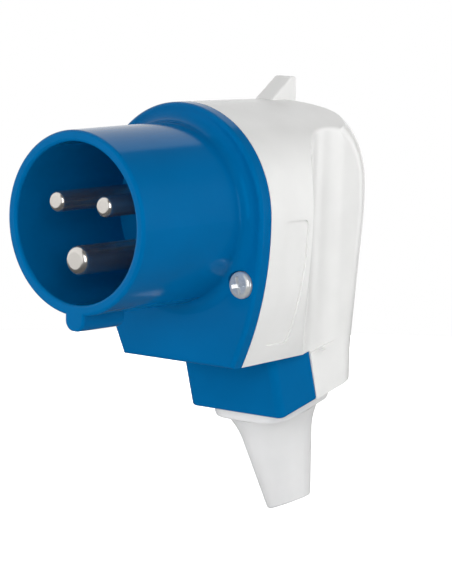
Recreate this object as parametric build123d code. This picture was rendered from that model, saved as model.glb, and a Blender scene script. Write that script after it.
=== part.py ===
from build123d import *
import os
from math import atan2, cos, degrees, hypot, radians, sin, sqrt, tan

# Angled three-pin industrial plug, in millimetres.
# The collar's axis is Y and its mouth is at the origin, opening towards -Y. +Z is up, +X is to the right.
# Lengths of the housing are measured back from the seam, those of the outlet down the cable axis.

# Fits
fit_gap = 0.1
joint_gap = 0.2
thread_gap = 0.05

# Collar and its key
collar_radius = 21.85
collar_wall = 2.7
collar_length = 36.0
rim_round = 0.8
collar_root_round = 3.0
key_width = 6.0
key_height = 3.6
key_length = 14.3
key_round = 2.6
key_end_round = 0.6

# Contact pins
pin_circle_radius = 8.75
phase_pin_radius = 2.5
earth_pin_radius = 3.5
phase_tip = 1.3
earth_tip = 0.1
phase_tip_round = 1.1
earth_tip_round = 1.5
pin_seat_step = 0.25
pin_seat_proud = 0.3
shoulder_step = 1.5
shoulder_length = 5.0
terminal_step = 1.1
terminal_length = 12.5
wire_bore_radius = 1.9
wire_bore_depth = 8.5

# Flange and the arch outline of the housing
flange_thickness = 3.5
flange_half_width = 26.45
flange_drop = 36.35
foot_half_width = 17.7
flange_round = 1.0
draft = 1.6
housing_wall = 2.2

# Front body behind the flange
spigot_height = 3.0
spigot_wall = 1.8
sill_half_width = 14.2

# Rear cover: shoulder, grip, finger scoops, lug and label field
grip_half_width = 16.7
grip_top_drop = 0.95
grip_start = 5.5
grip_depth = 52.0
grip_crest_radius = 21.6
grip_back_radius = 65.0
grip_lean = 5.7
grip_heel_z = -34.0
grip_flare = 1.5
grip_flare_radius = 30.0
grip_round = 7.5
scoop_radius = 17.75
scoop_depth = 0.65
scoop_place = 32.6
scoop_foot = 37.5
scoop_rim_round = 1.4
scoop_ridge_round = 14.0
lug_width = 5.5
lug_front = 27.5
lug_crest = 35.0
lug_back = 36.85
lug_height = 4.5
lug_root = 1.5
lug_round = 0.5
lug_corner_round = 0.8
label_depth = 0.45
label_front = 5.5
label_back = 14.5
label_top = -1.0
label_bottom = -31.5
label_round = 1.5

# Cable outlet, tilted back from straight down
outlet_tilt = 15.0
outlet_place = 18.8
outlet_half_width = 15.0
outlet_front = 13.7
outlet_bottom = 49.8
outlet_wall = 2.4
outlet_round = 2.0
outlet_floor_round = 0.8

# Cable sleeve
cable_radius = 4.5
sleeve_length = 29.9
sleeve_cut_side = 20.5
sleeve_cut_front = 6.6
sleeve_end_radius = 5.6
sleeve_taper = 9.7
sleeve_plate = 3.1
sleeve_plate_half = 12.0
sleeve_plate_corner = 6.4
sleeve_plate_round = 0.6
sleeve_flare_radius = 11.9
sleeve_flare = 11.0
sleeve_neck_radius = 9.0
sleeve_lip_radius = 10.9
sleeve_lip = 2.2
sleeve_end_round = 0.9
sleeve_mouth = 2.6
sleeve_mouth_step = 0.2

# Cover screws
cover_screw_edge = 4.5
cover_screw_z = -15.75
cover_screw_radius = 1.5
cover_screw_length = 14.0
cover_head_radius = 3.3
cover_head_height = 1.8
cover_head_round = 1.0
cover_head_sink = 0.6
cover_head_room = 0.15
cover_boss_radius = 3.0
cover_boss_floor = 1.5
recess_depth = 1.1
recess_width = 0.9
recess_length = 4.2
slot_turn = 15.0

# Housing seal
seal_inset = 0.9
seal_width = 0.8
seal_height = 0.9

# Retainer plate and its screw
retainer_thickness = 3.5
retainer_radius = 15.5
retainer_boss_radius = 3.3
retainer_screw_radius = 1.25
retainer_screw_grip = 4.0
retainer_head_radius = 2.6
retainer_head_height = 1.8

# Terminal screws
terminal_screw_radius = 1.6
terminal_screw_length = 3.2
terminal_head_radius = 2.6
terminal_head_height = 2.2
terminal_screw_place = 4.0
slot_width = 0.8
slot_depth = 1.0

# Cable clamp, its seat and its screws
clamp_half_length = 10.9
clamp_width = 6.0
clamp_thickness = 4.0
clamp_place = 39.4
clamp_screw_x = 8.2
clamp_boss_radius = 2.7
clamp_lift = 2.2
clamp_bite = 0.2
clamp_seat_edge = 2.5
clamp_screw_radius = 1.5
clamp_screw_grip = 8.0
clamp_head_radius = 2.8
clamp_head_height = 2.0

# Derived places
tilt = radians(outlet_tilt)
seam = collar_length + flange_thickness
cover_front = seam + joint_gap
draft_slope = tan(radians(draft))
side_spread = flange_half_width - foot_half_width
side_radius = (side_spread**2 + flange_drop**2) / (2 * side_spread)
side_centre = flange_half_width - side_radius
cover_screw_x = side_centre + sqrt(side_radius**2 - cover_screw_z**2) - cover_screw_edge
grip_back = seam + grip_depth
grip_turn = atan2(grip_half_width - outlet_half_width, outlet_bottom * cos(tilt))
scoop_y = seam + scoop_place
shoulder_end = seam + shoulder_length
terminal_end = shoulder_end + terminal_length
retainer_end = shoulder_end + retainer_thickness
terminal_screw_y = terminal_end - terminal_screw_place
outlet_floor = outlet_bottom - outlet_wall
sleeve_end = outlet_bottom + sleeve_length
seal_end = seam + seal_height
head_seat = collar_length + cover_head_sink
reach = 4 * grip_depth

MIDDLE = (Align.CENTER, Align.CENTER, Align.MIN)
HANGING = (Align.CENTER, Align.CENTER, Align.MAX)
grip_side = Location((grip_half_width, 0, 0), (0, degrees(grip_turn), 0))
outlet = Plane(origin=(0, seam + outlet_place, 0), x_dir=(1, 0, 0), z_dir=(0, sin(tilt), -cos(tilt)))


def back_plane(y):
    """Sketch plane across the plug at y, with its own y axis pointing down."""
    return Plane(origin=(0, y, 0), x_dir=(1, 0, 0), z_dir=(0, 1, 0))


def rod(radius, start, end, x=0.0, z=0.0):
    """Round bar along Y."""
    return Pos(x, start, z) * Rot(-90, 0, 0) * Cylinder(radius, end - start, align=MIDDLE)


def outlet_block(half_width, rear, front, top, bottom):
    """Block in the outlet's frame: rear to front is forward of the cable axis, top to bottom down it."""
    block = Box(2 * half_width, front - rear, bottom - top, align=(Align.CENTER, Align.MIN, Align.MIN))
    return outlet * Pos(0, rear, top) * block


def side_prism(face):
    """Body of a side-view face right across the plug."""
    return extrude(Plane.YZ * face, reach, both=True)


def arch_top(y):
    """Height of the drafted arch above the collar's axis."""
    return flange_half_width - (y - seam) * draft_slope


def arch_face(inset):
    """Outline of the housing, round above and narrowing to a flat foot."""
    half = flange_half_width - inset
    drop = flange_drop - inset
    foot = side_centre + sqrt((side_radius - inset) ** 2 - drop**2)
    crown = ThreePointArc((-half, 0), (0, -half), (half, 0))
    right = TangentArc((half, 0), (foot, drop), tangent=(0, 1))
    sill = Line((foot, drop), (-foot, drop))
    left = TangentArc((-half, 0), (-foot, drop), tangent=(0, 1))
    return make_face(crown + right + sill + left)


def arch_prism(inset, start, end):
    """Drafted body of the arch outline between two places along Y."""
    near = back_plane(start) * arch_face(inset + (start - seam) * draft_slope)
    far = back_plane(end) * arch_face(inset + (end - seam) * draft_slope)
    return loft([near, far], ruled=True)


def under_floor(gap):
    """Everything below the drafted floor of the arch."""
    slab = Box(reach, reach, reach, align=HANGING)
    return Pos(0, seam, gap - flange_drop) * Rot(draft, 0, 0) * slab


def pin_places():
    """Line, neutral and earth pins: place on the pin circle, radius, tip and the tip's rounding."""
    side = pin_circle_radius * cos(radians(30))
    rise = pin_circle_radius * sin(radians(30))
    return {
        "line_pin": (-side, rise, phase_pin_radius, phase_tip, phase_tip_round),
        "neutral_pin": (side, rise, phase_pin_radius, phase_tip, phase_tip_round),
        "earth_pin": (0.0, -pin_circle_radius, earth_pin_radius, earth_tip, earth_tip_round),
    }


# Front body

def collar_tube():
    """Round collar with softened rim."""
    tube = rod(collar_radius, 0, collar_length) - rod(collar_radius - collar_wall, 0, collar_length)
    return fillet(tube.edges().group_by(Axis.Y)[0], rim_round)


def collar_key():
    """Rounded bar under the collar that sets the plug's turn in its socket."""
    root = collar_radius - collar_wall / 2
    height = key_height + collar_wall / 2
    bar = Pos(0, 0, -root) * Box(
        key_width, key_length, height, align=(Align.CENTER, Align.MIN, Align.MAX)
    )
    bar = fillet(bar.edges().filter_by(Axis.Y).group_by(Axis.Z)[0], key_round)
    ends = bar.edges().group_by(Axis.Y)
    return fillet(ends[0] + ends[-1], key_end_round)


def flange_plate():
    """Flange with a softened front edge, which is also the collar's floor."""
    plate = extrude(back_plane(collar_length) * arch_face(0), flange_thickness)
    return fillet(plate.faces().sort_by(Axis.Y)[0].edges(), flange_round)


def flange_with_collar():
    """Collar and key on the flange, with a round root."""
    body = flange_plate() + collar_tube()
    root = body.edges().filter_by(GeomType.CIRCLE)
    root = [
        e for e in root
        if abs(e.radius - collar_radius) < fit_gap and abs(e.center().Y - collar_length) < fit_gap
    ]
    room = flange_half_width - collar_radius - flange_round - fit_gap
    return fillet(root, min(collar_root_round, room)) + collar_key()


def outlet_shell():
    """Front half of the cable outlet, with the seat and the bosses of the cable clamp."""
    inner_front = outlet_front - outlet_wall
    inner_half = outlet_half_width - outlet_wall
    shell = outlet_block(outlet_half_width, 0, outlet_front, 0, outlet_bottom)
    uprights = shell.edges().filter_by(Axis(outlet.origin, outlet.z_dir))
    shell = fillet(uprights.sort_by(Axis.Y)[:2], outlet_round)
    floor = shell.faces().sort_by(Axis(outlet.origin, outlet.z_dir))[-1]
    shell = fillet(floor.edges().sort_by(Axis.Y)[:-1], outlet_floor_round)
    shell -= outlet_block(inner_half, -outlet_wall, inner_front, -reach, outlet_floor)
    shell -= outlet * Pos(0, 0, outlet_floor) * Cylinder(
        sleeve_neck_radius + fit_gap, 2 * outlet_wall
    )
    shell &= under_floor(-joint_gap)
    seat = outlet_block(
        cable_radius, clamp_seat_edge, inner_front,
        clamp_place - clamp_width / 2, clamp_place + clamp_width / 2,
    )
    seat -= outlet * Cylinder(cable_radius, reach)
    boss = Rot(-90, 0, 0) * Cylinder(clamp_boss_radius, inner_front + clamp_lift, align=MIDDLE)
    hole = Rot(-90, 0, 0) * Cylinder(
        clamp_screw_radius + thread_gap, clamp_screw_grip + outlet_wall / 2, align=MIDDLE
    )
    shell += seat
    for side in (-1, 1):
        place = Pos(side * clamp_screw_x, -clamp_lift, clamp_place)
        shell += outlet * place * boss
        shell -= outlet * place * hole
    return shell


def make_front_body():
    """Blue moulding: collar, key, flange, spigot, sill and front half of the outlet."""
    body = flange_with_collar()
    spigot_inset = housing_wall + fit_gap
    spigot_end = seam + spigot_height
    spigot = arch_prism(spigot_inset, seam, spigot_end)
    spigot -= arch_prism(spigot_inset + spigot_wall, seam, spigot_end)
    sill = Pos(0, seam, -flange_drop) * Box(
        2 * sill_half_width, outlet_place + outlet_front, housing_wall,
        align=(Align.CENTER, Align.MIN, Align.MIN),
    )
    sill -= outlet_block(reach, -reach, outlet_front - outlet_wall, -reach, reach)
    body += spigot
    body += sill
    body += outlet_shell()
    body += rod(retainer_boss_radius, collar_length, shoulder_end)
    pilot_start = shoulder_end - retainer_screw_grip - fit_gap
    body -= rod(retainer_screw_radius + thread_gap, pilot_start, shoulder_end)
    for x, z, radius, *_ in pin_places().values():
        body -= rod(radius + pin_seat_step + fit_gap / 2, collar_length - fit_gap, seam, x, z)
    for side in (-1, 1):
        x = side * cover_screw_x
        body -= rod(cover_boss_radius + fit_gap, seam, reach, x, cover_screw_z)
        body -= rod(cover_screw_radius + cover_head_room, 0, seam, x, cover_screw_z)
        body -= rod(cover_head_radius + cover_head_room, 0, head_seat, x, cover_screw_z)
    return body


# Rear cover

def grip_profile(inset):
    """Side view of the grip: top, round crest, long back arc, a leaning line and a flare at the heel."""
    crest_radius = grip_crest_radius - inset
    radius = grip_back_radius - inset
    lean = radians(grip_lean)
    flare = radians(grip_flare)
    centre = Vector(grip_back - grip_back_radius, 0)
    crest_z = flange_half_width - grip_top_drop - grip_crest_radius
    crest_y = centre.X + sqrt((grip_back_radius - grip_crest_radius) ** 2 - crest_z**2)
    crest = Vector(crest_y, crest_z)
    join = atan2(crest_z, crest_y - centre.X)
    half = (radians(90) + join) / 2
    middle = (join - lean) / 2
    front = Vector(0, crest_z + crest_radius)
    top = Vector(crest_y, crest_z + crest_radius)
    joint = centre + Vector(cos(join), sin(join)) * radius
    lean_end = centre + Vector(cos(lean), -sin(lean)) * radius
    heel = Vector(lean_end.X + (grip_heel_z - lean_end.Y) * tan(lean), grip_heel_z)
    flare_radius = grip_flare_radius + inset
    flare_centre = heel + Vector(cos(lean), -sin(lean)) * flare_radius
    turn = (flare - lean) / 2
    bend_end = flare_centre - Vector(cos(flare), sin(flare)) * flare_radius
    low = bend_end + Vector(sin(flare), -cos(flare)) * grip_depth
    round_top = ThreePointArc(top, crest + Vector(cos(half), sin(half)) * crest_radius, joint)
    back = ThreePointArc(joint, centre + Vector(cos(middle), sin(middle)) * radius, lean_end)
    bend = ThreePointArc(heel, flare_centre - Vector(cos(turn), sin(turn)) * flare_radius, bend_end)
    rest = Polyline(bend_end, low, (0, low.Y), front, top)
    return make_face(round_top + back + Line(lean_end, heel) + bend + rest)


def grip_body(inset):
    """Grip with sides drawing in to the outlet's width and a round rim from its top down to the heel."""
    room = Box(reach, reach, 2 * reach, align=(Align.MAX, Align.MIN, Align.CENTER))
    side = Pos(0, seam + grip_start, 0) * grip_side * Pos(-inset, 0, 0) * room
    body = side_prism(grip_profile(inset)) & side & mirror(side, Plane.YZ)
    foot = body.faces().sort_by(Axis.Z)[0].edges()
    front = body.faces().sort_by(Axis.Y)[0].edges()
    across = body.edges().filter_by(Axis.X)
    rim = [e for e in body.edges() if e not in foot + front + across]
    return fillet(rim, grip_round - inset)


def on_both_sides(cutter, inset):
    """Cutter for the right scoop and its mirror for the left, both ending above the outlet."""
    cutter = grip_side * Pos(0, scoop_y, 0) * cutter
    cutter -= outlet_block(reach, -reach, reach, scoop_foot + inset, 2 * reach)
    return cutter + mirror(cutter, Plane.YZ)


def scoop_hollows(inset):
    """Round hollows along both sides of the grip."""
    hollow = Pos(scoop_radius - scoop_depth, 0, 0) * Cylinder(scoop_radius + inset, reach)
    return on_both_sides(hollow, inset)


def ridge_cutters():
    """Rounding of the ridges between the hollows and the sides of the grip."""
    hollow = Vector(scoop_radius - scoop_depth, 0)
    span = scoop_radius + scoop_ridge_round
    out = Vector(0, sqrt(span**2 - (span - scoop_depth) ** 2))
    ridge = out - Vector(scoop_ridge_round, 0)
    turn = atan2(out.Y, span - scoop_depth)
    touch = ridge + Vector(cos(turn), -sin(turn)) * scoop_ridge_round
    crown = ridge + Vector(cos(turn / 2), -sin(turn / 2)) * scoop_ridge_round
    rest = Polyline(out, (hollow.X, out.Y), hollow, touch)
    return on_both_sides(extrude(make_face(ThreePointArc(touch, crown, out) + rest), reach, both=True), 0)


def ahead_of_joint():
    """Everything in front of the joint between the outlet's halves."""
    return outlet_block(reach, -joint_gap, reach, -reach, reach)


def cover_body(inset, start):
    """Arch of the shoulder with the grip behind and below it."""
    grip = grip_body(inset)
    below = Pos(0, 0, grip_heel_z / 2) * Box(reach, reach, reach, align=HANGING)
    wide = Pos(0, scoop_y, 0) * Box(reach, reach, reach, align=(Align.CENTER, Align.MAX, Align.CENTER))
    arch = arch_prism(inset, start, grip_back + draft)
    low = (grip & below) - (ahead_of_joint() & under_floor(0))
    return (arch & (wide + (grip - below))) + low


def round_scoops(body):
    """Soften the front rim of the scoops, down to the floor of the arch."""
    rims = []
    for edge in body.edges():
        spots = [edge @ t for t in (0, 0.5, 1)]
        out = [(abs(s.X) - grip_half_width) * cos(grip_turn) - s.Z * sin(grip_turn) for s in spots]
        off = [
            hypot(x - scoop_radius + scoop_depth, s.Y - scoop_y) - scoop_radius
            for x, s in zip(out, spots)
        ]
        middle = spots[1]
        on_wall = max(abs(o) for o in off) < thread_gap
        if on_wall and middle.Y < scoop_y and middle.Z > housing_wall - flange_drop:
            rims.append(edge)
    return fillet(rims, scoop_rim_round)


def make_lug():
    """Wedge on top that a socket's lid hooks behind, with softened edges."""
    start = arch_top(seam + lug_front)
    top = flange_half_width + lug_height
    foot = arch_top(seam + lug_back) - lug_root - grip_top_drop
    run = (start - foot) * (lug_crest - lug_front) / (top - start)
    outline = Polyline(
        (seam + lug_front - run, foot),
        (seam + lug_crest, top),
        (seam + lug_back, top),
        (seam + lug_back, foot),
        close=True,
    )
    face = make_face(outline)
    face = fillet(face.vertices().group_by(Axis.Y)[-1], lug_corner_round)
    lug = extrude(Plane.YZ * face, lug_width / 2, both=True)
    root = lug.faces().sort_by(Axis.Z)[0].edges()
    rims = [e for side in lug.faces().filter_by(Axis.X) for e in side.edges() if e not in root]
    return fillet(rims, lug_round)


def make_rear_cover():
    """White shell with grip, lug, screw bosses and the rear half of the outlet."""
    outer = cover_body(0, cover_front)
    outer -= outlet_block(reach, -reach, reach, outlet_bottom, 2 * reach)
    outer = round_scoops(outer - scoop_hollows(0)) - ridge_cutters()

    cavity = cover_body(housing_wall, seam - joint_gap)
    cavity -= outlet_block(reach, -reach, reach, outlet_floor, 2 * reach)
    cavity -= scoop_hollows(housing_wall)

    cover = outer + make_lug() - cavity
    label_side = side_prism(
        Pos(seam + (label_front + label_back) / 2, (label_top + label_bottom) / 2)
        * RectangleRounded(label_back - label_front, label_top - label_bottom, label_round)
    )
    label_skin = arch_prism(-label_depth, cover_front, seam + outlet_place)
    label_skin -= arch_prism(label_depth, cover_front, seam + outlet_place)
    cover -= label_skin & label_side

    sill_slot = Pos(0, seam, -flange_drop) * Box(
        2 * (sill_half_width + fit_gap), reach, 2 * (housing_wall + fit_gap)
    )
    cover -= sill_slot & ahead_of_joint()
    cover -= arch_prism(seal_inset - fit_gap, seam, seal_end + fit_gap)
    cover -= outlet * Pos(0, 0, outlet_floor) * Cylinder(sleeve_neck_radius + fit_gap, 2 * outlet_wall)

    screw_end = head_seat + cover_screw_length
    for side in (-1, 1):
        x = side * cover_screw_x
        boss = rod(cover_boss_radius, seal_end + fit_gap, screw_end + cover_boss_floor, x, cover_screw_z)
        cover += boss & arch_prism(housing_wall / 2, cover_front, scoop_y)
        cover -= rod(cover_screw_radius + thread_gap, seam, screw_end + fit_gap, x, cover_screw_z)
    return cover


# Cable sleeve

def sleeve_plate_block():
    """Plate of the sleeve, following the outlet's outline, with a softened lower edge."""
    width = 2 * sleeve_plate_half
    plate = extrude(RectangleRounded(width, width, sleeve_plate_corner), sleeve_plate)
    plate = fillet(plate.faces().sort_by(Axis.Z)[-1].edges(), sleeve_plate_round)
    return Pos(0, 0, outlet_bottom) * plate


def make_cable_sleeve():
    """Soft tapered sleeve, cut off at a slant, whose neck sits in the outlet's floor."""
    slope = tan(radians(sleeve_taper))
    flare_end = outlet_bottom + sleeve_flare
    flare_radius = sleeve_end_radius + (sleeve_end - flare_end) * slope
    plate_end = outlet_bottom + sleeve_plate
    lip_top = outlet_floor - sleeve_lip
    tip = sleeve_end + sleeve_end_radius
    wall = Polyline(
        (sleeve_flare_radius, plate_end),
        (sleeve_neck_radius, plate_end),
        (sleeve_neck_radius, outlet_floor),
        (sleeve_lip_radius, outlet_floor),
        (sleeve_lip_radius, lip_top),
        (0, lip_top),
        (0, tip),
        (sleeve_end_radius - sleeve_end_radius * slope, tip),
        (flare_radius, flare_end),
    )
    flare = TangentArc((flare_radius, flare_end), (sleeve_flare_radius, plate_end), tangent=(slope, -1))
    sleeve = revolve(Plane.XZ * make_face(wall + flare), Axis.Z) + sleeve_plate_block()
    cut = Pos(0, 0, sleeve_end) * Rot(-sleeve_cut_front, sleeve_cut_side, 0)
    sleeve -= cut * Box(reach, reach, reach, align=MIDDLE)
    sleeve = fillet(sleeve.faces().sort_by(Axis.Z)[-1].edges(), sleeve_end_round)
    mouth = Cylinder(cable_radius + sleeve_mouth_step, reach, align=MIDDLE)
    sleeve -= Pos(0, 0, sleeve_end - sleeve_mouth) * mouth
    return outlet * (sleeve - Cylinder(cable_radius, reach))


# Contacts and their retainer

def make_pin(x, z, radius, tip, tip_round):
    """Contact pin with rounded tip, seat in the flange, shoulder and bored terminal end."""
    seat_radius = radius + pin_seat_step
    shaft = rod(radius, tip, collar_length)
    shaft = fillet(shaft.edges().group_by(Axis.Y)[0], tip_round)
    pin = shaft + rod(seat_radius, collar_length - pin_seat_proud, seam)
    pin += rod(seat_radius + shoulder_step, seam, shoulder_end)
    pin += rod(radius + terminal_step, shoulder_end, terminal_end)
    pin -= rod(wire_bore_radius, terminal_end - wire_bore_depth, terminal_end)
    turn = Rot(0, Vector(0, 0, 1).get_signed_angle(Vector(x, 0, z), Vector(0, 1, 0)), 0)
    screw_hole = Cylinder(terminal_screw_radius + thread_gap, radius + terminal_step, align=MIDDLE)
    pin -= Pos(0, terminal_screw_y, 0) * turn * screw_hole
    return Pos(x, 0, z) * pin


def make_terminal_screws():
    """One slotted screw in each terminal, pointing away from the plug's axis."""
    head = Cylinder(terminal_head_radius, terminal_head_height, align=MIDDLE)
    slot = Box(2 * terminal_head_radius, slot_width, slot_depth, align=HANGING)
    shank = Cylinder(terminal_screw_radius, terminal_screw_length, align=HANGING)
    screw = head + shank - Pos(0, 0, terminal_head_height) * slot
    screws = []
    for x, z, radius, *_ in pin_places().values():
        turn = Rot(0, Vector(0, 0, 1).get_signed_angle(Vector(x, 0, z), Vector(0, 1, 0)), 0)
        screws.append(Pos(x, terminal_screw_y, z) * turn * Pos(0, 0, radius + terminal_step) * screw)
    return Compound(children=screws)


def make_pin_retainer():
    """Insulating plate on the pins' shoulders."""
    plate = rod(retainer_radius, shoulder_end, retainer_end)
    for x, z, radius, *_ in pin_places().values():
        plate -= rod(radius + terminal_step + fit_gap, shoulder_end, retainer_end, x, z)
    return plate - rod(retainer_screw_radius + fit_gap, shoulder_end, retainer_end)


def make_retainer_screw():
    """Screw of the retainer plate, in the boss on the collar's axis."""
    head = rod(retainer_head_radius, retainer_end, retainer_end + retainer_head_height)
    slot = Pos(0, retainer_end + retainer_head_height, 0) * Box(
        2 * retainer_head_radius, 2 * slot_depth, slot_width
    )
    return head + rod(retainer_screw_radius, shoulder_end - retainer_screw_grip, retainer_end) - slot


# Fasteners, clamp and seal

def make_cover_screws():
    """Pan-head screws from the flange into the cover's bosses, with a slot and cross recess."""
    head_front = head_seat - cover_head_height
    head = rod(cover_head_radius, head_front, head_seat)
    head = fillet(head.edges().group_by(Axis.Y)[0], cover_head_round)
    arm = Pos(0, head_front, 0) * Box(recess_length, 2 * recess_depth, recess_width)
    recess = arm + Rot(0, 90, 0) * arm
    screw = head + rod(cover_screw_radius, head_seat, head_seat + cover_screw_length) - recess
    turned = Rot(0, -slot_turn, 0) * screw
    return Compound(children=[Pos(side * cover_screw_x, 0, cover_screw_z) * turned for side in (-1, 1)])


def make_cable_clamp():
    """Saddle across the cable, seated on the front body's two bosses."""
    bar = Pos(0, -clamp_lift, clamp_place) * Box(
        2 * clamp_half_length, clamp_thickness, clamp_width, align=(Align.CENTER, Align.MAX, Align.CENTER)
    )
    bar -= Cylinder(cable_radius - clamp_bite, reach)
    for side in (-1, 1):
        bar -= Pos(side * clamp_screw_x, 0, clamp_place) * Rot(-90, 0, 0) * Cylinder(
            clamp_screw_radius + fit_gap, reach
        )
    return outlet * bar


def make_clamp_screws():
    """Slotted screws through the saddle into the bosses."""
    head = Cylinder(clamp_head_radius, clamp_head_height, align=MIDDLE)
    slot = Box(2 * clamp_head_radius, slot_width, slot_depth, align=HANGING)
    shank = Cylinder(
        clamp_screw_radius, clamp_thickness + clamp_screw_grip, align=HANGING
    )
    screw = Rot(90, 0, 0) * (head + shank - Pos(0, 0, clamp_head_height) * slot)
    seat_y = -clamp_lift - clamp_thickness
    places = [Pos(side * clamp_screw_x, seat_y, clamp_place) for side in (-1, 1)]
    return Compound(children=[outlet * place * screw for place in places])


def make_housing_seal():
    """Soft strip around the joint, open where the front body's sill passes."""
    seal = arch_prism(seal_inset, seam, seal_end) - arch_prism(seal_inset + seal_width, seam, seal_end)
    sill_room = Pos(0, seam, -flange_drop) * Box(
        2 * (sill_half_width + joint_gap), 4 * seal_height, 4 * housing_wall
    )
    return seal - sill_room


def main():
    """Build every piece and write one STEP file each."""
    parts = {
        "front_body": make_front_body(),
        "rear_cover": make_rear_cover(),
        "cable_sleeve": make_cable_sleeve(),
        "cover_screws": make_cover_screws(),
        "pin_retainer": make_pin_retainer(),
        "retainer_screw": make_retainer_screw(),
        "terminal_screws": make_terminal_screws(),
        "cable_clamp": make_cable_clamp(),
        "clamp_screws": make_clamp_screws(),
        "housing_seal": make_housing_seal(),
    }
    for name, place in pin_places().items():
        parts[name] = make_pin(*place)
    os.makedirs("parts", exist_ok=True)
    for name, shape in parts.items():
        export_step(shape, f"parts/{name}.step")


main()
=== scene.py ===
import math

import bpy
from mathutils import Matrix, Vector


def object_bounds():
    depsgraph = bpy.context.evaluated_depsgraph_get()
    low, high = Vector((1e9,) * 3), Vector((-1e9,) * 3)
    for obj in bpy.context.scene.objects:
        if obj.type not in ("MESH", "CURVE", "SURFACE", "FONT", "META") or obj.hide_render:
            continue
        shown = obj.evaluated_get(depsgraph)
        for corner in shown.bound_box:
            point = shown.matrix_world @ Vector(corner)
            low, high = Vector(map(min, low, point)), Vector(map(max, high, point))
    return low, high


# Camera, fitted to the photograph: picture in pixels, lengths in metres, angles in degrees
picture_width = 452
picture_height = 584
focal_pixels = 3400.0
view_turn = 41.05
view_rise = 7.73
view_roll = 0.73
view_distance = 0.7905
mouth_u = 74.65
mouth_v = 223.6
sensor = 36.0

# Floor: lengths in metres, lift is the light added for the camera near the middle and further out
floor_drop = 0.040
floor_radius = 0.6
floor_corners = 64
floor_lift_near = 0.32
floor_lift_far = 1.0
floor_near = 0.06
floor_far = 0.2
floor_grey = 0.9
# Grey of the floor in reflections: painted shade, much darker than the lit floor
floor_painted_reflection_grey = 0.12
floor_roughness = 0.9

# Room: its levels in reflections and as fill light, and the edge of the white wall on the left
wall_turn = math.radians(8.0)
wall_blur = 0.02
wall_level = 1.0
room_level = 0.13
fill_level = 0.093

# Screens seen in reflections: from and to degrees from +X towards +Y, and the height they reach
screens = ((14.0, 46.0), (60.0, 82.0))
screen_blur = 4.0
screen_height = 0.3
screen_fade = 0.1
screen_level = 2.0

# Soft boxes all round, named by where they stand, with their places in metres and their power in watts
box_size = 0.5
soft_boxes = {
    "front_right_box": ((0.57, -0.57, 0.2), 2.9),
    "front_box": ((0.15, -0.78, 0.0), 3.2),
    "left_box": ((-0.6, -0.5, 0.25), 2.0),
    "right_back_box": ((0.6, 0.55, 0.2), 2.7),
    "right_high_box": ((0.55, 0.05, 0.58), 2.0),
    "left_back_box": ((-0.6, 0.6, 0.1), 2.0),
}
mirrored_box = "front_right_box"

# Colours, linear
blue = (0.0, 0.118, 0.32)
blue_gloss = (0.0, 0.45, 1.0)
white = (0.79, 0.79, 0.78)
sleeve_white = (0.745, 0.745, 0.745)
nickel_colour = (0.72, 0.69, 0.65)
zinc_colour = (0.86, 0.87, 0.87)
inner_grey = (0.2, 0.2, 0.21)
seal_black = (0.03, 0.03, 0.03)

# Range in which most of a noise lies
noise_low = 0.3
noise_high = 0.7

# Stretch of object coordinates: none, and for fine lines around the pins' axis
unstretched = (1.0, 1.0, 1.0)
along_turning = (60.0, 9000.0, 60.0)


def scaled(colour, factor):
    return tuple(min(1.0, channel * factor) for channel in colour)


def new_material(name, roughness, metallic, specular):
    material = bpy.data.materials.new(name)
    material.use_nodes = True
    shader = material.node_tree.nodes["Principled BSDF"]
    shader.inputs["Roughness"].default_value = roughness
    shader.inputs["Metallic"].default_value = metallic
    shader.inputs["Specular IOR Level"].default_value = specular
    return material, material.node_tree, shader


def place(tree, stretch):
    # Object coordinates in metres, stretched along the axes
    source = tree.nodes.new("ShaderNodeTexCoord")
    mapping = tree.nodes.new("ShaderNodeMapping")
    mapping.inputs["Scale"].default_value = stretch
    tree.links.new(source.outputs["Object"], mapping.inputs["Vector"])
    return mapping.outputs["Vector"]


def noise(tree, vector, scale, detail, roughness):
    texture = tree.nodes.new("ShaderNodeTexNoise")
    texture.inputs["Scale"].default_value = scale
    texture.inputs["Detail"].default_value = detail
    texture.inputs["Roughness"].default_value = roughness
    tree.links.new(vector, texture.inputs["Vector"])
    return texture.outputs["Fac"]


def spread(tree, value, low, high, start, end):
    # Maps a value from low..high to start..end
    node = tree.nodes.new("ShaderNodeMapRange")
    node.inputs["From Min"].default_value = low
    node.inputs["From Max"].default_value = high
    node.inputs["To Min"].default_value = start
    node.inputs["To Max"].default_value = end
    tree.links.new(value, node.inputs["Value"])
    return node.outputs["Result"]


def shades(tree, value, dark, light):
    node = tree.nodes.new("ShaderNodeMix")
    node.data_type = "RGBA"
    node.inputs["A"].default_value = (*dark, 1.0)
    node.inputs["B"].default_value = (*light, 1.0)
    tree.links.new(value, node.inputs["Factor"])
    return node.outputs["Result"]


def combined(tree, operation, first, second=None):
    node = tree.nodes.new("ShaderNodeMath")
    node.operation = operation
    tree.links.new(first, node.inputs[0])
    if second is not None:
        tree.links.new(second, node.inputs[1])
    return node.outputs["Value"]


def largest(tree, first, second):
    return combined(tree, "MAXIMUM", first, second)


def relief(tree, height, strength, depth, below=None):
    node = tree.nodes.new("ShaderNodeBump")
    node.inputs["Strength"].default_value = strength
    node.inputs["Distance"].default_value = depth
    tree.links.new(height, node.inputs["Height"])
    if below is not None:
        tree.links.new(below, node.inputs["Normal"])
    return node.outputs["Normal"]


def tinted(tree, shader, pattern, colour, darkest, lightest):
    # Lets the colour follow a noise between two factors
    tint = spread(tree, pattern, noise_low, noise_high, 0.0, 1.0)
    colours = shades(tree, tint, scaled(colour, darkest), scaled(colour, lightest))
    tree.links.new(colours, shader.inputs["Base Color"])


def worn(tree, shader, pattern, roughness, smoothest, roughest):
    # Lets the roughness follow a noise between two factors
    value = spread(tree, pattern, noise_low, noise_high, roughness * smoothest, roughness * roughest)
    tree.links.new(value, shader.inputs["Roughness"])


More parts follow.
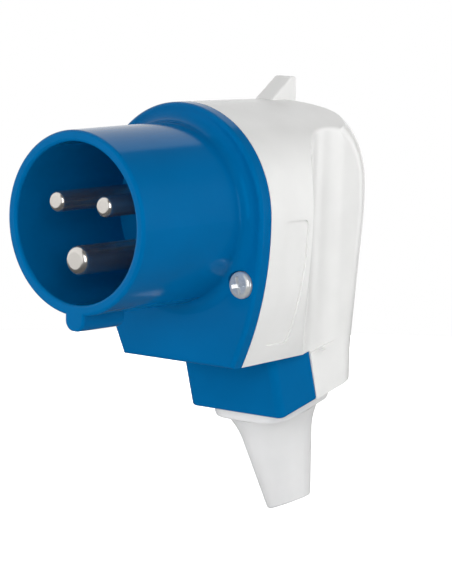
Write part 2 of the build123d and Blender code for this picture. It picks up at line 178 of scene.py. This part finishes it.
def moulded(name, colour, roughness, specular, grain, waviness):
    # Injection-moulded plastic: a slight flow mottle, a fine grain and faint handling marks in the gloss
    material, tree, shader = new_material(name, roughness, metallic=0.0, specular=specular)
    vector = place(tree, unstretched)
    flow = noise(tree, vector, scale=55.0, detail=3.0, roughness=0.5)
    tinted(tree, shader, flow, colour, darkest=0.96, lightest=1.04)
    marks = noise(tree, vector, scale=140.0, detail=6.0, roughness=0.65)
    worn(tree, shader, marks, roughness, smoothest=0.85, roughest=1.2)
    waves = noise(tree, vector, scale=180.0, detail=2.0, roughness=0.4)
    swell = relief(tree, waves, strength=waviness, depth=0.0002)
    grains = noise(tree, vector, scale=5200.0, detail=2.0, roughness=0.5)
    skin = relief(tree, grains, strength=grain, depth=0.00002, below=swell)
    tree.links.new(skin, shader.inputs["Normal"])
    return material


def turned(name, colour, roughness, metallic):
    # Turned and plated metal: fine lines around the pin's axis, slightly uneven plating
    material, tree, shader = new_material(name, roughness, metallic, specular=0.5)
    plating = noise(tree, place(tree, unstretched), scale=260.0, detail=4.0, roughness=0.6)
    tinted(tree, shader, plating, colour, darkest=0.95, lightest=1.04)
    worn(tree, shader, plating, roughness, smoothest=0.9, roughest=1.15)
    lines = noise(tree, place(tree, along_turning), scale=1.0, detail=2.0, roughness=0.5)
    tree.links.new(relief(tree, lines, strength=0.04, depth=0.00001), shader.inputs["Normal"])
    return material


def plated(name, colour, roughness, metallic):
    # Zinc-plated steel with a pale skin: a crystalline cloudiness and small pressing marks
    material, tree, shader = new_material(name, roughness, metallic, specular=0.5)
    vector = place(tree, unstretched)
    cloud = noise(tree, vector, scale=700.0, detail=5.0, roughness=0.6)
    tinted(tree, shader, cloud, colour, darkest=0.85, lightest=1.1)
    worn(tree, shader, cloud, roughness, smoothest=0.75, roughest=1.4)
    marks = noise(tree, vector, scale=2200.0, detail=3.0, roughness=0.6)
    tree.links.new(relief(tree, marks, strength=0.25, depth=0.00002), shader.inputs["Normal"])
    return material


def lamp(name, place_at, aim, size, watts):
    data = bpy.data.lights.new(name, "AREA")
    data.shape = "RECTANGLE"
    data.size = size
    data.size_y = size
    data.energy = watts
    obj = bpy.data.objects.new(name, data)
    bpy.context.scene.collection.objects.link(obj)
    obj.location = place_at
    obj.rotation_mode = "QUATERNION"
    obj.rotation_quaternion = (aim - Vector(place_at)).to_track_quat("-Z", "Y")
    return obj


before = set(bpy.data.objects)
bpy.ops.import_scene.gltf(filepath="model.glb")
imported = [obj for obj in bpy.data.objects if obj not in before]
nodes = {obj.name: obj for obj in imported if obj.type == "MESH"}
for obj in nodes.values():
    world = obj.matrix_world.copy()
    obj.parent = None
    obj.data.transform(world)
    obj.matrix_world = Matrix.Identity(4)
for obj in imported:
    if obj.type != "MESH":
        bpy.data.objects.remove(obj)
cad_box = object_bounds()

# Materials
materials = {
    "blue_plastic": moulded(
        "blue_plastic", blue, roughness=0.14, specular=0.19, grain=0.03, waviness=0.03
    ),
    "white_plastic": moulded(
        "white_plastic", white, roughness=0.22, specular=0.4, grain=0.01, waviness=0.015
    ),
    "soft_sleeve": moulded(
        "soft_sleeve", sleeve_white, roughness=0.55, specular=0.3, grain=0.15, waviness=0.08
    ),
    "nickel": turned("nickel", nickel_colour, roughness=0.24, metallic=0.95),
    "zinc_steel": plated("zinc_steel", zinc_colour, roughness=0.2, metallic=0.62),
    "inner_plastic": moulded(
        "inner_plastic", inner_grey, roughness=0.5, specular=0.4, grain=0.1, waviness=0.05
    ),
    "seal_rubber": moulded(
        "seal_rubber", seal_black, roughness=0.7, specular=0.3, grain=0.2, waviness=0.1
    ),
}
node_slots = {
    "front_body": "blue_plastic",
    "rear_cover": "white_plastic",
    "cable_sleeve": "soft_sleeve",
    "line_pin": "nickel",
    "neutral_pin": "nickel",
    "earth_pin": "nickel",
    "cover_screws": "zinc_steel",
    "terminal_screws": "zinc_steel",
    "retainer_screw": "zinc_steel",
    "clamp_screws": "zinc_steel",
    "pin_retainer": "inner_plastic",
    "cable_clamp": "inner_plastic",
    "housing_seal": "seal_rubber",
}
blue_shader = materials["blue_plastic"].node_tree.nodes["Principled BSDF"]
blue_shader.inputs["Specular Tint"].default_value = (*blue_gloss, 1.0)
for node_name, slot_name in node_slots.items():
    mesh = nodes[node_name].data
    mesh.materials.clear()
    mesh.materials.append(materials[slot_name])

# Floor: pale and lit, with the object's shadow near its middle and lifted to white further out
centre = (cad_box[0] + cad_box[1]) / 2
floor_mesh = bpy.data.meshes.new("floor")
angles = [2 * math.pi * i / floor_corners for i in range(floor_corners)]
outline = [(floor_radius * math.cos(angle), floor_radius * math.sin(angle), 0.0) for angle in angles]
floor_mesh.from_pydata(outline, [], [range(floor_corners)])
floor = bpy.data.objects.new("floor", floor_mesh)
floor.location = (centre.x, centre.y, cad_box[0].z - floor_drop)
bpy.context.scene.collection.objects.link(floor)
floor_material, floor_tree, floor_shader = new_material("floor", floor_roughness, metallic=0.0, specular=0.0)
floor_shader.inputs["Emission Color"].default_value = (1.0, 1.0, 1.0, 1.0)
floor_rays = floor_tree.nodes.new("ShaderNodeLightPath").outputs
# Painted shade in reflections: glossy rays see the floor dark grey instead of its lit colour
floor_colour = spread(floor_tree, floor_rays["Is Glossy Ray"], 0.0, 1.0, floor_grey, floor_painted_reflection_grey)
floor_tree.links.new(floor_colour, floor_shader.inputs["Base Color"])
floor_seen = largest(floor_tree, floor_rays["Is Camera Ray"], floor_rays["Is Transmission Ray"])
floor_way = floor_tree.nodes.new("ShaderNodeVectorMath")
floor_way.operation = "LENGTH"
floor_tree.links.new(place(floor_tree, unstretched), floor_way.inputs[0])
floor_lift = spread(
    floor_tree, floor_way.outputs["Value"], floor_near, floor_far, floor_lift_near, floor_lift_far
)
floor_glow = combined(floor_tree, "MULTIPLY", floor_seen, floor_lift)
floor_tree.links.new(floor_glow, floor_shader.inputs["Emission Strength"])
floor_mesh.materials.append(floor_material)

# World: white to the camera; in reflections a white wall on the left, a dim room and two bright screens
world = bpy.data.worlds.new("studio")
bpy.context.scene.world = world
world.use_nodes = True
sky = world.node_tree
background = sky.nodes["Background"]
rays = sky.nodes.new("ShaderNodeLightPath").outputs
direction = sky.nodes.new("ShaderNodeTexCoord")
axes = sky.nodes.new("ShaderNodeSeparateXYZ")
sky.links.new(direction.outputs["Generated"], axes.inputs["Vector"])
leftness = sky.nodes.new("ShaderNodeVectorMath")
leftness.operation = "DOT_PRODUCT"
leftness.inputs[1].default_value = (-math.cos(wall_turn), -math.sin(wall_turn), 0.0)
sky.links.new(direction.outputs["Generated"], leftness.inputs[0])
level = spread(sky, leftness.outputs["Value"], -wall_blur, wall_blur, room_level, wall_level)
compass = combined(sky, "ARCTAN2", axes.outputs["Y"], axes.outputs["X"])
height = combined(sky, "ABSOLUTE", axes.outputs["Z"])
low = spread(sky, height, screen_height, screen_height + screen_fade, screen_level, 0.0)
for start, end in screens:
    rising = spread(sky, compass, math.radians(start), math.radians(start + screen_blur), 0.0, 1.0)
    falling = spread(sky, compass, math.radians(end - screen_blur), math.radians(end), 1.0, 0.0)
    screen = combined(sky, "MULTIPLY", combined(sky, "MULTIPLY", rising, falling), low)
    level = combined(sky, "ADD", level, screen)
sky.links.new(largest(sky, rays["Is Camera Ray"], level), background.inputs["Color"])
mirrored = largest(sky, rays["Is Glossy Ray"], rays["Is Transmission Ray"])
seen = largest(sky, rays["Is Camera Ray"], mirrored)
sky.links.new(spread(sky, seen, 0.0, 1.0, fill_level, 1.0), background.inputs["Strength"])

# Lamps
for box_name, (box_place, box_power) in soft_boxes.items():
    box = lamp(box_name, box_place, centre, box_size, box_power)
    box.visible_glossy = box_name == mirrored_box

# Camera
turn = math.radians(view_turn)
rise = math.radians(view_rise)
roll = math.radians(view_roll)
back = Vector((math.sin(turn) * math.cos(rise), -math.cos(turn) * math.cos(rise), math.sin(rise)))
level_right = Vector((math.cos(turn), math.sin(turn), 0.0))
level_up = back.cross(level_right)
right = math.cos(roll) * level_right + math.sin(roll) * level_up
up = -math.sin(roll) * level_right + math.cos(roll) * level_up
across = (mouth_u - picture_width / 2) / focal_pixels * view_distance
above = -(mouth_v - picture_height / 2) / focal_pixels * view_distance
camera_data = bpy.data.cameras.new("camera")
camera_data.sensor_width = sensor
camera_data.lens = sensor * focal_pixels / picture_height
camera = bpy.data.objects.new("camera", camera_data)
bpy.context.scene.collection.objects.link(camera)
camera.matrix_world = Matrix.Translation(view_distance * back - across * right - above * up) @ Matrix(
    ((right.x, up.x, back.x), (right.y, up.y, back.y), (right.z, up.z, back.z))
).to_4x4()
bpy.context.scene.camera = camera
bpy.context.scene.view_settings.view_transform = "Standard"
